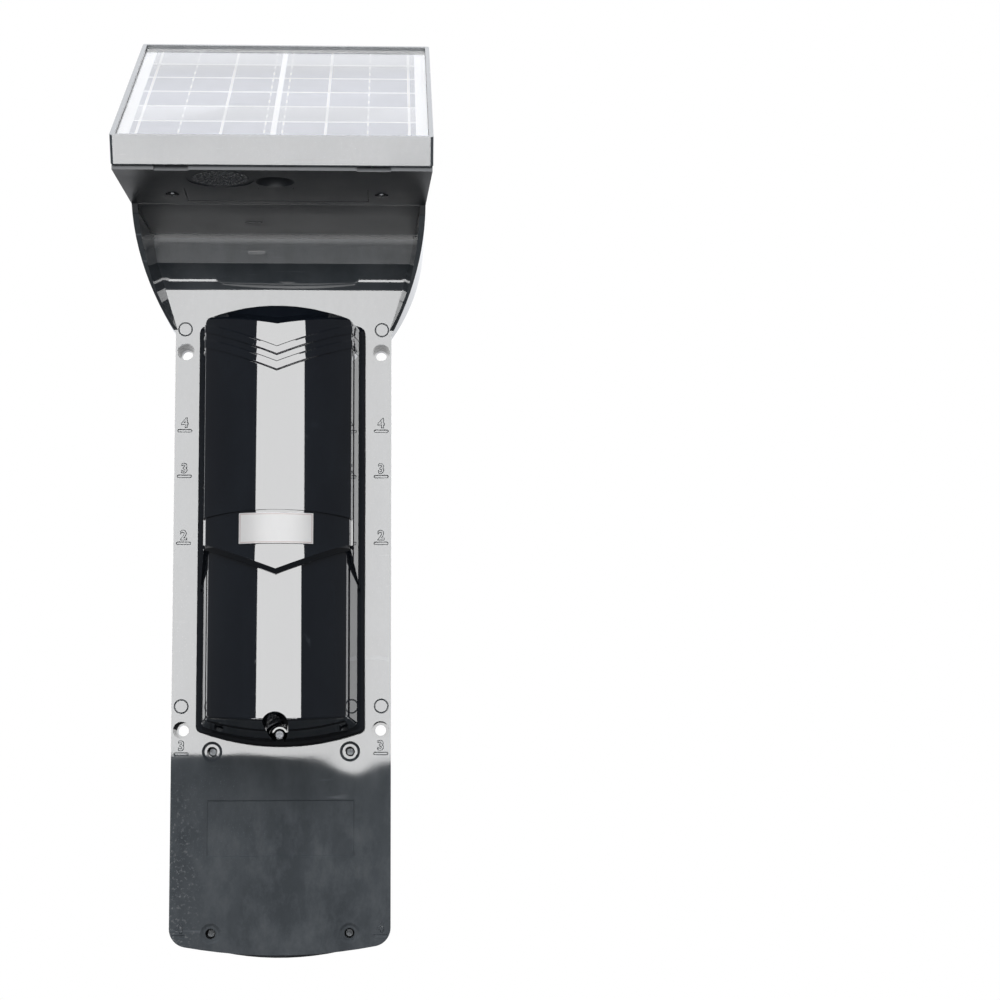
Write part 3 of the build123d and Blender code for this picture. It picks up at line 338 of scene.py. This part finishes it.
# Numbers above the board's scale marks: plain digits that stand a hair proud of the face, moulded in
# the same tool as the board, so they share its plastic.
scale_half = 0.0596
board_face = -0.019
scale_numbers = ((0.0663, "4"), (0.0384, "3"), (-0.0024, "2"), (-0.1292, "3"), (-0.2370, "4"))
digit_size = 0.0080
digit_lift = 0.0022
digit_proud = 0.00042


def make_numbers():
    """All digits as one mesh. Each is a font curve with a sloped edge, stood upright on the board."""
    whole = bmesh.new()
    for z, digit in scale_numbers:
        for side in (-1, 1):
            curve = bpy.data.curves.new("digit", "FONT")
            curve.body = digit
            curve.size = digit_size
            curve.resolution_u = 4
            curve.align_x = "CENTER"
            curve.bevel_depth = digit_proud
            curve.bevel_resolution = 0
            thing = bpy.data.objects.new("digit", curve)
            bpy.context.scene.collection.objects.link(thing)
            bpy.context.view_layer.update()
            mesh = bpy.data.meshes.new_from_object(thing.evaluated_get(bpy.context.evaluated_depsgraph_get()))
            upright = Matrix.Rotation(math.pi / 2, 4, "X")
            spot = Matrix.Translation((side * scale_half, board_face, z + digit_lift))
            mesh.transform(spot @ upright)
            whole.from_mesh(mesh)
            bpy.data.objects.remove(thing)
            bpy.data.curves.remove(curve)
            bpy.data.meshes.remove(mesh)
    bmesh.ops.remove_doubles(whole, verts=whole.verts, dist=1e-6)
    mesh = bpy.data.meshes.new("scale_numbers")
    whole.to_mesh(mesh)
    whole.free()
    return mesh


def add_piece(name, mesh, material, body):
    """A piece of the scene's own, that rides on a body."""
    piece = bpy.data.objects.new(name, mesh)
    bpy.context.scene.collection.objects.link(piece)
    mesh.materials.clear()
    mesh.materials.append(material)
    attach(piece, body)


add_piece("scale_numbers", make_numbers(), board_plastic, "housing")

# The speaker's grille: every sound hole in the head's floor has a fine raised rim, moulded with the
# floor. They are one small ring, set round each hole in rings of six, twelve and so on.
grille_x = -0.030
grille_y = -0.1525
grille_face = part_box("head_floor")[0][2] + 0.0004
grille_rings = 5
grille_plastic = plastic("grille_plastic", (0.075, 0.082, 0.09), (0.10, 0.108, 0.118), 0.3, 0.4, 1.5,
                         (14.0, 1.0), 0.1, 0.0004)
grille_values = {"Pitch": 0.0036, "Rim Radius": 0.00125, "Rim Thickness": 0.0004, "Finish": grille_plastic}


def ring_tree():
    """A circle of points for each ring of holes, with a rim on every point."""
    tree = bpy.data.node_groups.new("grille_ring_tree", "GeometryNodeTree")
    tree.interface.new_socket(name="Geometry", in_out="OUTPUT", socket_type="NodeSocketGeometry")
    for name in ("Pitch", "Rim Radius", "Rim Thickness"):
        tree.interface.new_socket(name=name, in_out="INPUT", socket_type="NodeSocketFloat")
    tree.interface.new_socket(name="Finish", in_out="INPUT", socket_type="NodeSocketMaterial")
    enter = tree.nodes.new("NodeGroupInput")
    leave = tree.nodes.new("NodeGroupOutput")
    join = tree.nodes.new("GeometryNodeJoinGeometry")
    for ring in range(1, grille_rings):
        points = tree.nodes.new("GeometryNodeMeshCircle")
        points.inputs["Vertices"].default_value = 6 * ring
        tree.links.new(calc(tree, "MULTIPLY", enter.outputs["Pitch"], ring), points.inputs["Radius"])
        tree.links.new(points.outputs["Mesh"], join.inputs["Geometry"])
    middle = tree.nodes.new("GeometryNodeMeshLine")
    middle.inputs["Count"].default_value = 1
    tree.links.new(middle.outputs["Mesh"], join.inputs["Geometry"])
    profiles = []
    for name, points in (("Rim Radius", 12), ("Rim Thickness", 6)):
        circle = tree.nodes.new("GeometryNodeCurvePrimitiveCircle")
        circle.inputs["Resolution"].default_value = points
        tree.links.new(enter.outputs[name], circle.inputs["Radius"])
        profiles.append(circle.outputs["Curve"])
    rim = tree.nodes.new("GeometryNodeCurveToMesh")
    tree.links.new(profiles[0], rim.inputs["Curve"])
    tree.links.new(profiles[1], rim.inputs["Profile Curve"])
    spread = tree.nodes.new("GeometryNodeInstanceOnPoints")
    tree.links.new(join.outputs["Geometry"], spread.inputs["Points"])
    tree.links.new(rim.outputs["Mesh"], spread.inputs["Instance"])
    real = tree.nodes.new("GeometryNodeRealizeInstances")
    tree.links.new(spread.outputs["Instances"], real.inputs["Geometry"])
    finish = tree.nodes.new("GeometryNodeSetMaterial")
    tree.links.new(real.outputs["Geometry"], finish.inputs["Geometry"])
    tree.links.new(enter.outputs["Finish"], finish.inputs["Material"])
    tree.links.new(finish.outputs["Geometry"], leave.inputs["Geometry"])
    return tree


def grown_mesh(name, tree, values):
    """The plain mesh that a Geometry Nodes tree makes with the stated inputs."""
    holder = bpy.data.objects.new(name + "_seed", bpy.data.meshes.new(name + "_seed"))
    bpy.context.scene.collection.objects.link(holder)
    modifier = holder.modifiers.new("nodes", "NODES")
    modifier.node_group = tree
    for item in tree.interface.items_tree:
        if item.in_out == "INPUT" and item.name in values:
            modifier[item.identifier] = values[item.name]
    holder.update_tag()
    bpy.context.view_layer.update()
    mesh = bpy.data.meshes.new_from_object(holder.evaluated_get(bpy.context.evaluated_depsgraph_get()))
    holder.modifiers.remove(modifier)
    bpy.data.objects.remove(holder)
    mesh.name = name
    return mesh


rims = grown_mesh("grille_rims", ring_tree(), grille_values)
rims.transform(Matrix.Translation((grille_x, grille_y, grille_face)))
add_piece("grille_rims", rims, grille_plastic, "housing")

# The solar panel: twelve dark navy silicon cells on a white backing, under a sheet of clear glass; the cells
# are coloured a pale grey-blue, a painted reflection over the silicon's own dark tone.
# Flat solder ribbons cross the cells, solid ones and thin ones that show as rows of dots.
slope_angle = math.radians(31.3)
ribbons = (0.0290, 0.0757)
dot_ribbons = (0.0050, 0.0525)
ribbon_width = 0.0015
dash_length = 0.0315 / 4
finger_pitch = 0.0011
row_count = 6
cell_tones_painted_reflection = ((0.30, 0.31, 0.37), (0.345, 0.355, 0.42))
finger_grey = (0.55, 0.56, 0.6)
ribbon_white = (0.86, 0.86, 0.87)
cells_low, cells_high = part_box("solar_cells")
row_line = 0.0013
cells_start = cells_low[1] * math.cos(slope_angle) + cells_low[2] * math.sin(slope_angle)
cells_end = cells_high[1] * math.cos(slope_angle) + cells_high[2] * math.sin(slope_angle)
row_pitch = (cells_end - cells_start + row_line) / row_count


def near(tree, value, middle, half_width, soft=0.0001):
    """1 where a value lies within half a width of its middle."""
    apart = calc(tree, "ABSOLUTE", calc(tree, "SUBTRACT", value, middle))
    return ramp(tree, apart, half_width + soft, half_width - soft)


def fold(tree, value, length):
    """A value folded back and forth between nothing and a length."""
    return calc(tree, "PINGPONG", value, length)


def make_cell_material():
    """Silicon lightened to a pale grey-blue as painted reflection, with crystal tones, fine silver fingers,
    ribbons, dashes and row lines.
    """
    material = bpy.data.materials.new("cell_silicon")
    material.use_nodes = True
    tree = material.node_tree
    shader = tree.nodes["Principled BSDF"]
    shader.inputs["IOR"].default_value = 1.9
    place, x, y, z = place_of(tree)
    across = calc(tree, "ABSOLUTE", x)
    along = calc(tree, "ADD", calc(tree, "MULTIPLY", y, math.cos(slope_angle)),
                 calc(tree, "MULTIPLY", z, math.sin(slope_angle)))
    crystal = tree.nodes.new("ShaderNodeTexVoronoi")
    crystal.inputs["Scale"].default_value = 130.0
    tree.links.new(place, crystal.inputs["Vector"])
    tone = tree.nodes.new("ShaderNodeSeparateColor")
    tree.links.new(crystal.outputs["Color"], tone.inputs["Color"])
    # Painted reflection: these tones are far paler than the dark silicon, to stand in for the sky mirrored on
    # the cells.
    colour = mixed(tree, tone.outputs["Red"], *cell_tones_painted_reflection)
    fingers = ramp(tree, fold(tree, along, finger_pitch), 0.00018, 0.00008, 0.0, 0.35)
    colour = mixed(tree, fingers, colour, finger_grey)
    lines = near(tree, across, ribbons[0], ribbon_width / 2)
    lines = calc(tree, "MAXIMUM", lines, near(tree, across, ribbons[1], ribbon_width / 2))
    rows = calc(tree, "SUBTRACT", along, cells_start - row_line / 2)
    row_lines = ramp(tree, fold(tree, rows, row_pitch / 2), row_line, row_line * 0.8)
    lines = calc(tree, "MAXIMUM", lines, row_lines)
    dashes = ramp(tree, fold(tree, along, dash_length), 0.0032, 0.0026, 0.25, 1.0)
    for ribbon in dot_ribbons:
        dotted = calc(tree, "MULTIPLY", near(tree, across, ribbon, ribbon_width / 3), dashes)
        lines = calc(tree, "MAXIMUM", lines, dotted)
    colour = mixed(tree, lines, colour, ribbon_white)
    tree.links.new(colour, shader.inputs["Base Color"])
    tree.links.new(ramp(tree, tone.outputs["Green"], 0.0, 1.0, 0.16, 0.26), shader.inputs["Roughness"])
    return material


def make_glass_material():
    """Clear glass, faintly smeared and hardly wavy."""
    material = bpy.data.materials.new("panel_glass")
    material.use_nodes = True
    tree = material.node_tree
    shader = tree.nodes["Principled BSDF"]
    shader.inputs["Base Color"].default_value = (0.97, 0.975, 0.98, 1)
    shader.inputs["Transmission Weight"].default_value = 1.0
    shader.inputs["IOR"].default_value = 1.5
    place, x, y, z = place_of(tree)
    smear = noise(tree, stretched(tree, place, (1.0, 0.4, 0.4), (0.5, 0.0, 0.3)), 30.0, 4.0)
    tree.links.new(ramp(tree, smear, 0.4, 0.75, 0.0, 0.06), shader.inputs["Roughness"])
    relief = tree.nodes.new("ShaderNodeBump")
    relief.inputs["Distance"].default_value = 0.00003
    tree.links.new(noise(tree, place, 40.0, 1.0), relief.inputs["Height"])
    tree.links.new(relief.outputs["Normal"], shader.inputs["Normal"])
    return material


dress(make_cell_material(), "solar_cells")
dress(make_glass_material(), "solar_glass")
backing_white = plastic("backing_white", (0.76, 0.76, 0.77), (0.82, 0.82, 0.83), 0.4, 0.5, 1.45,
                        (12.0, 1.0), 0.02, 0.0001, rub_light=1.05)
dress(backing_white, "solar_backing")

# The detector's cover: one moulding in black infrared plastic, polished like a mirror. Its visor
# ends in a bevel along the V seam, and the chevrons near its top have softly broken edges. The cap
# above them and the foot slope away. Under it lie the black tray and the rubber seal.
cover_black = (0.0065, 0.0090, 0.0140)
cover_navy = (0.0095, 0.0130, 0.0190)
seam_apex = -0.0290
seam_rate = 16.0 / 42.5
seam_width = 0.0032
seam_rise = 30.0
cap_apex = 0.1165
cap_rate = 0.17
cap_height = 0.014
cap_fall = -90.0
foot_level = -0.045
foot_blend = 0.003
foot_sides = (0.040, 0.052)
foot_bottom = (-0.117, -0.132)
foot_fall = -90.0
front_blend = (-0.070, -0.076)
chevron_edges = (0.1024, 0.0979, 0.0937, 0.0889)
chevron_rate = 0.385
chevron_line = 0.0006
chevron_rise = 1.3


def cover_bevels(tree, colour, rough, height):
    """Slopes of the cover's surface: the seam's bevel, the cap, the foot and the chevrons' edges."""
    place, x, y, z = place_of(tree)
    spread = calc(tree, "ABSOLUTE", x)
    seam = calc(tree, "SUBTRACT", z, calc(tree, "MULTIPLY_ADD", spread, seam_rate, seam_apex))
    bevel = ramp(tree, seam, 0.0, seam_width)
    at_front = ramp(tree, y, *front_blend)
    total = calc(tree, "MULTIPLY_ADD", calc(tree, "MULTIPLY", bevel, at_front), seam_rise, height)
    cap = calc(tree, "SUBTRACT", z, calc(tree, "MULTIPLY_ADD", spread, cap_rate, cap_apex))
    total = calc(tree, "MULTIPLY_ADD", ramp(tree, cap, 0.0, cap_height), cap_fall, total)
    at_foot = ramp(tree, y, foot_level - foot_blend, foot_level)
    foot = calc(tree, "ADD", ramp(tree, spread, *foot_sides), ramp(tree, z, *foot_bottom))
    total = calc(tree, "MULTIPLY_ADD", calc(tree, "MULTIPLY", foot, at_foot), foot_fall, total)
    for edge in chevron_edges:
        rise = calc(tree, "SUBTRACT", z, calc(tree, "MULTIPLY_ADD", spread, chevron_rate, edge))
        groove = ramp(tree, calc(tree, "ABSOLUTE", rise), 0.0, chevron_line)
        total = calc(tree, "MULTIPLY_ADD", calc(tree, "MULTIPLY", groove, at_front), chevron_rise, total)
    return colour, rough, total


cover_plastic = plastic("cover_plastic", cover_black, cover_navy, 0.02, 0.05, 1.72, (9.0, 1.0), 0.002, 0.0001,
                        rub_light=1.6, extra=cover_bevels)
dress(cover_plastic, "detector_cover")
tray_plastic = plastic("tray_plastic", (0.006, 0.007, 0.010), (0.010, 0.011, 0.014), 0.4, 0.5, 1.12,
                       (10.0, 0.3), 0.05, 0.0003)
dress(tray_plastic, "detector_base")
seal_rubber = plastic("seal_rubber", (0.008, 0.008, 0.009), (0.013, 0.013, 0.014), 0.5, 0.65, 1.12,
                      (30.0, 0.5), 0.2, 0.0002)
dress(seal_rubber, "cover_gasket", "cable_grommet", "antenna")

# The badge plate: a thin white plastic plate let into the band, left bare, with a fine line
# of greyish red printed round its edge.
badge_low, badge_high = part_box("badge_plate")
badge_line = 0.0007
badge_line_width = 0.0005
badge_line_soft = 0.00008
badge_line_red = (0.55, 0.46, 0.46)


def badge_border(tree, colour, rough, height):
    """A line at a steady distance from the plate's edge."""
    place, x, y, z = place_of(tree)
    half = (badge_high[0] - badge_low[0]) / 2
    tall = (badge_high[2] - badge_low[2]) / 2
    middle = (badge_high[2] + badge_low[2]) / 2
    from_side = calc(tree, "SUBTRACT", half, calc(tree, "ABSOLUTE", x))
    from_edge = calc(tree, "SUBTRACT", tall, calc(tree, "ABSOLUTE", calc(tree, "SUBTRACT", z, middle)))
    nearest = calc(tree, "MINIMUM", from_side, from_edge)
    line = near(tree, nearest, badge_line, badge_line_width / 2, badge_line_soft)
    return mixed(tree, line, colour, badge_line_red), rough, height


badge_white = plastic("badge_white", (0.70, 0.70, 0.705), (0.75, 0.75, 0.755), 0.35, 0.45, 1.4,
                      (20.0, 0.3), 0.02, 0.0002, rub_light=0.97, extra=badge_border)
dress(badge_white, "badge_plate")

# The screws: turned and recessed steel with stains, coloured very dark as painted shade of the dark wells
# they sit in. The cover's screw is plated and shines more than those that close the case.
plated_tone_painted_shade = (0.075, 0.077, 0.082)
screw_tone_painted_shade = (0.10, 0.105, 0.11)


def make_steel(name, tone, rough_low, rough_high):
    """Steel with a fine turned grain, darker where it is stained."""
    material = bpy.data.materials.new(name)
    material.use_nodes = True
    tree = material.node_tree
    shader = tree.nodes["Principled BSDF"]
    shader.inputs["Metallic"].default_value = 1.0
    place, x, y, z = place_of(tree)
    turned = noise(tree, place, 1500.0, 3.0)
    colour = mixed(tree, turned, tuple(c * 0.8 for c in tone), tone)
    stain = ramp(tree, noise(tree, place, 300.0, 3.0), 0.5, 0.7, 0.0, 0.5)
    colour = mixed(tree, stain, colour, tuple(c * 0.45 for c in tone))
    tree.links.new(colour, shader.inputs["Base Color"])
    tree.links.new(ramp(tree, turned, 0.3, 0.7, rough_low, rough_high), shader.inputs["Roughness"])
    relief = tree.nodes.new("ShaderNodeBump")
    relief.inputs["Distance"].default_value = 0.00002
    tree.links.new(turned, relief.inputs["Height"])
    tree.links.new(relief.outputs["Normal"], shader.inputs["Normal"])
    return material


dress(make_steel("bright_steel", plated_tone_painted_shade, 0.14, 0.22), "cover_screw")
dress(make_steel("screw_steel_painted_shade", screw_tone_painted_shade, 0.3, 0.45), "case_screws", "floor_screws", "base_screws")

# Inside the head: the battery in its blue shrink wrap, the speaker with its dark paper cone, and the
# green glass fibre boards, here and in the detector, with copper tracks under their mask.
wrap_film = plastic("wrap_film", (0.012, 0.045, 0.16), (0.02, 0.07, 0.22), 0.2, 0.35, 1.5,
                    (60.0, 1.0), 0.1, 0.0004)
dress(wrap_film, "battery_pack")
cone_paper = plastic("cone_paper", (0.018, 0.018, 0.018), (0.035, 0.034, 0.033), 0.6, 0.8, 1.4,
                     (200.0, 1.0), 0.5, 0.0003)
dress(cone_paper, "speaker")
track_pitch = 0.00127
track_green = (0.035, 0.17, 0.075)
pad_tin = (0.55, 0.52, 0.45)


def copper_tracks(tree, colour, rough, height):
    """Tracks across and up the board under the green mask, with tinned pads where both meet."""
    place, x, y, z = place_of(tree)

    def stripe(value, share):
        return ramp(tree, fold(tree, value, track_pitch), track_pitch * share, track_pitch * (share - 0.1))

    lengthways = calc(tree, "MULTIPLY", stripe(x, 0.4), ramp(tree, noise(tree, place, 70.0, 0.0), 0.5, 0.52))
    upwards = calc(tree, "MULTIPLY", stripe(z, 0.4), ramp(tree, noise(tree, place, 50.0, 0.0), 0.52, 0.54))
    pads = calc(tree, "MULTIPLY", calc(tree, "MULTIPLY", stripe(x, 0.5), stripe(z, 0.5)),
                ramp(tree, noise(tree, place, 120.0, 0.0), 0.55, 0.57))
    tracks = calc(tree, "MAXIMUM", lengthways, upwards)
    colour = mixed(tree, tracks, colour, track_green)
    colour = mixed(tree, pads, colour, pad_tin)
    return colour, rough, calc(tree, "ADD", height, tracks)


board_green = plastic("board_green", (0.012, 0.075, 0.035), (0.016, 0.09, 0.042), 0.25, 0.35, 1.5,
                      (30.0, 0.2), 0.05, 0.00004, extra=copper_tracks)
dress(board_green, "charge_board", "radio_board", "detector_board",
      "upper_optics_board", "lower_optics_board")

# Inside the detector: black chassis, yokes and lens holders, dark red lens sheets with fine rings,
# a green terminal block and the tamper switch.
optics_black = plastic("optics_black", (0.018, 0.018, 0.02), (0.028, 0.028, 0.03), 0.4, 0.55, 1.5,
                       (40.0, 0.3), 0.3, 0.0002)
dress(optics_black, "optics_chassis", "upper_yoke", "lower_yoke", "upper_lens_holder", "lower_lens_holder",
      "tamper_switch")
terminal_green = plastic("terminal_green", (0.03, 0.16, 0.07), (0.04, 0.2, 0.09), 0.3, 0.4, 1.5,
                         (40.0, 0.3), 0.2, 0.0002)
dress(terminal_green, "terminal_block")
lens_spacing = 0.034
lens_radius = 0.0155
lens_rim = 0.0005
ring_pitch = 0.0004
ring_slope = 2000.0


def lens_rings(tree, colour, rough, height):
    """Fine rings of a pressed lens, round each of its two centres."""
    place, x, y, z = place_of(tree)
    total = height
    for node in ("upper_lens", "lower_lens"):
        low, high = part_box(node)
        for side in (-1, 1):
            up = calc(tree, "SUBTRACT", z, (low[2] + high[2]) / 2 + side * lens_spacing / 2)
            radius = calc(tree, "SQRT", calc(tree, "MULTIPLY_ADD", x, x, calc(tree, "MULTIPLY", up, up)))
            inside = ramp(tree, radius, lens_radius, lens_radius - lens_rim)
            grooves = calc(tree, "MULTIPLY", fold(tree, radius, ring_pitch), ring_slope)
            total = calc(tree, "MULTIPLY_ADD", grooves, inside, total)
    return colour, rough, total


lens_red = plastic("lens_red", (0.10, 0.008, 0.010), (0.14, 0.012, 0.014), 0.06, 0.12, 1.5,
                   (20.0, 0.2), 0.01, 0.0001, extra=lens_rings)
dress(lens_red, "upper_lens", "lower_lens")
